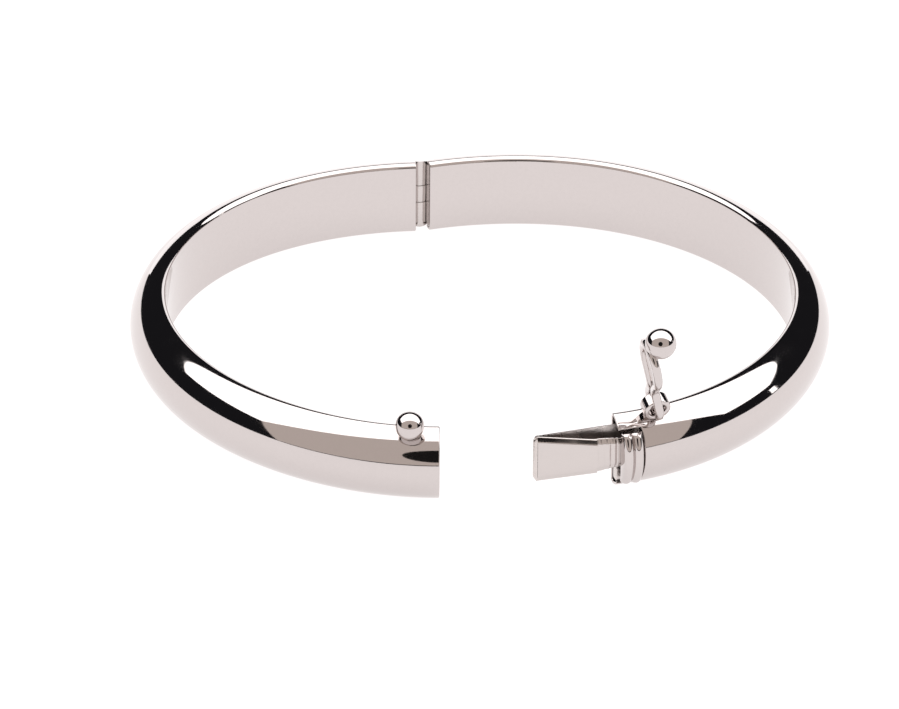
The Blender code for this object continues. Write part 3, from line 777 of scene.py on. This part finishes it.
def knuckle(name, node, side, low, high):
    """A knuckle barrel filed flush with the dome, and the tab that ties it to its half."""
    barrel = rounded_box(PIN_RADIUS + TURNED_EDGE, KNUCKLE_RADIUS, low, high, TURNED_EDGE, steps=3)
    item = ring_lathe(name, barrel, hinge_frame(), sides=96)
    points, _ = section()
    squash = 1 - 2 * KNUCKLE_INSET / BAND_HEIGHT
    rows = []
    for number in range(13):
        angle = HINGE_ANGLE + (number - 6) / 6 * KNUCKLE_SWEEP
        row = []
        for radius, z in points:
            place = oval(angle) + normal(angle) * (radius - KNUCKLE_INSET)
            row.append(vec(*place, z * squash))
        rows.append(row)
    combine(item, skin(name + "_dome", rows, wrap_points=True, caps=True), "INTERSECT")
    corners = [(TAB_ROOT, TAB_OUT[0]), (TAB_REACH, TAB_OUT[0]), (TAB_REACH, TAB_OUT[1]),
               (TAB_ROOT, TAB_OUT[1])]
    outline = [(along * ACROSS[side], out) for along, out in corners]
    tab = plate(name + "_tab", outline, max(low, -TAB_HALF_HEIGHT), min(high, TAB_HALF_HEIGHT),
                hinge_frame())
    combine(item, tab, "UNION")
    finish(item, FILED, side + "_half", FILED_SLOT, node, place=PLACE[side])


def hinge():
    """The three knuckles and the pin they turn on."""
    middle, high = MIDDLE_HALF_HEIGHT, KNUCKLE_HALF_HEIGHT
    low = middle + KNUCKLE_GAP
    knuckle("knuckle_upper_turned", "hinge_knuckle_upper", "left", low, high)
    knuckle("knuckle_lower_turned", "hinge_knuckle_lower", "left", -high, -low)
    knuckle("knuckle_middle_turned", "hinge_knuckle_middle", "right", -middle, middle)
    end = PIN_HALF_LENGTH
    tip_radius = PIN_RADIUS - PIN_EDGE
    outline = [(0.0, -end), (tip_radius, -end), (PIN_RADIUS, PIN_EDGE - end), (PIN_RADIUS, end - PIN_EDGE),
               (tip_radius, end), (0.0, end)]
    pin = lathe("hinge_pin_turned", outline, hinge_frame(), sides=48)
    finish(pin, FILED, "left_half", FILED_SLOT, "hinge_pin", place=PLACE["left"])


# ---------------------------------------------------------------- studio

def emitter(name, color, strength):
    material = bpy.data.materials.new(name)
    material.use_nodes = True
    tree = material.node_tree
    tree.nodes.clear()
    glow = tree.nodes.new("ShaderNodeEmission")
    glow.inputs["Color"].default_value = (*color, 1.0)
    glow.inputs["Strength"].default_value = strength
    output = tree.nodes.new("ShaderNodeOutputMaterial")
    link(tree, glow.outputs["Emission"], output.inputs["Surface"])
    return material


def card(name, corners, material):
    """A studio card, seen in reflections but not by the camera."""
    mesh = bpy.data.meshes.new(name)
    mesh.from_pydata(corners, [], [tuple(range(len(corners)))])
    mesh.materials.append(material)
    item = bpy.data.objects.new(name, mesh)
    bpy.context.scene.collection.objects.link(item)
    item.visible_camera = False
    item.visible_shadow = False


def studio_cards():
    """A low, wide softbox, a dim warm sheet on the camera's side, a low white card behind the bangle, a
    bright strip on its right, and the camera's dark body."""
    height = SOFTBOX_HEIGHT
    left, right = SOFTBOX_X
    front, back = SOFTBOX_Y
    card("softbox", [(left, front, height), (right, front, height), (right, back, height),
                     (left, back, height)], emitter("softbox", (1.0, 0.99, 0.985), 2.25))
    card("front_sheet", [(left, SHEET_FOOT_Y, SHEET_FOOT_Z), (SHEET_RIGHT, SHEET_FOOT_Y, SHEET_FOOT_Z),
                         (SHEET_RIGHT, front, height), (left, front, height)],
         emitter("front_sheet", (0.68, 0.605, 0.56), 1.0))

    crown = []
    for step in range(13):
        share = 2 * step / 12 - 1
        crown.append((share * BACK_CARD_HALF, BACK_CARD_Y + BACK_CARD_BEND * share * share,
                      BACK_CARD_HEIGHT - BACK_CARD_DROP * abs(share) ** 1.5))
    foot_y, foot_z = BACK_CARD_Y + BACK_CARD_BEND, 0.001
    card("back_card", crown + [(BACK_CARD_HALF, foot_y, foot_z), (-BACK_CARD_HALF, foot_y, foot_z)],
         emitter("back_card", (1.0, 0.985, 0.99), 1.4))

    far, near = SIDE_STRIP_ENDS
    low, high = SIDE_STRIP_Z
    card("side_strip", [(*far, low), (*near, low), (*near, high), (*far, high)],
         emitter("side_strip", (1.0, 0.99, 0.98), 2.2))

    rise, reach = math.sin(CAMERA_BODY_ELEVATION), math.cos(CAMERA_BODY_ELEVATION)
    body = []
    for turn in spread(0.0, 2 * math.pi, 48):
        across, up = CAMERA_BODY_RADIUS * math.cos(turn), CAMERA_BODY_RADIUS * math.sin(turn)
        body.append((across, up * rise - CAMERA_BODY_DISTANCE * reach,
                     up * reach + CAMERA_BODY_DISTANCE * rise))
    card("camera_body", body, emitter("camera_body", (0.012, 0.011, 0.011), 1.0))


def floor_and_room():
    """A pale floor that is lit mostly by its own glow, so the bangle casts next to no shadow, in a dark
    room."""
    floor = bpy.data.meshes.new("floor")
    half = FLOOR_HALF
    floor.from_pydata([(-half, -half, 0), (half, -half, 0), (half, half, 0), (-half, half, 0)], [],
                      [(0, 1, 2, 3)])
    pale = bpy.data.materials.new("pale_floor")
    pale.use_nodes = True
    shader = pale.node_tree.nodes["Principled BSDF"]
    shader.inputs["Base Color"].default_value = (0.16, 0.155, 0.155, 1.0)
    shader.inputs["Emission Color"].default_value = (1.0, 0.975, 0.975, 1.0)
    shader.inputs["Emission Strength"].default_value = 0.97
    shader.inputs["Roughness"].default_value = 0.9
    shader.inputs["Specular IOR Level"].default_value = 0.0
    floor.materials.append(pale)
    ground = bpy.data.objects.new("floor", floor)
    bpy.context.scene.collection.objects.link(ground)

    world = bpy.data.worlds.new("dark_room")
    world.use_nodes = True
    world.node_tree.nodes["Background"].inputs["Color"].default_value = (0.012, 0.012, 0.014, 1.0)
    bpy.context.scene.world = world
    bpy.context.scene.view_settings.view_transform = "Standard"


def camera():
    """The camera, aimed at a point level with the band's middle."""
    aim = (Matrix.Rotation(CAMERA_AZIMUTH, 4, "Z") @ vec(*AIM_FROM_HINGE)) + hinge_place
    aim.z = BAND_HEIGHT / 2 * MM
    back = Matrix.Rotation(CAMERA_AZIMUTH, 4, "Z") @ Vector(
        (0.0, -math.cos(CAMERA_ELEVATION), math.sin(CAMERA_ELEVATION)))
    data = bpy.data.cameras.new("camera")
    data.lens = CAMERA_LENS
    data.clip_start = 0.1
    data.clip_end = 20.0
    item = bpy.data.objects.new("camera", data)
    bpy.context.scene.collection.objects.link(item)
    turn = (-back).to_track_quat("-Z", "Y").to_matrix().to_4x4()
    item.matrix_world = (Matrix.Translation(aim + back * CAMERA_DISTANCE * MM) @ turn
                         @ Matrix.Rotation(CAMERA_ROLL, 4, "Z"))
    bpy.context.scene.camera = item


# ---------------------------------------------------------------- everything

for side in ("left", "right"):
    band(side)
catch_ball()
safety_eye()
safety_wire()
base_leaf()
tongue_root()
spring_leaf()
thumb_piece()
hinge()
for node in frame["nodes"].values():
    if not node.hide_render:
        node.data.materials.clear()
        node.data.materials.append(FILED)
studio_cards()
floor_and_room()
camera()
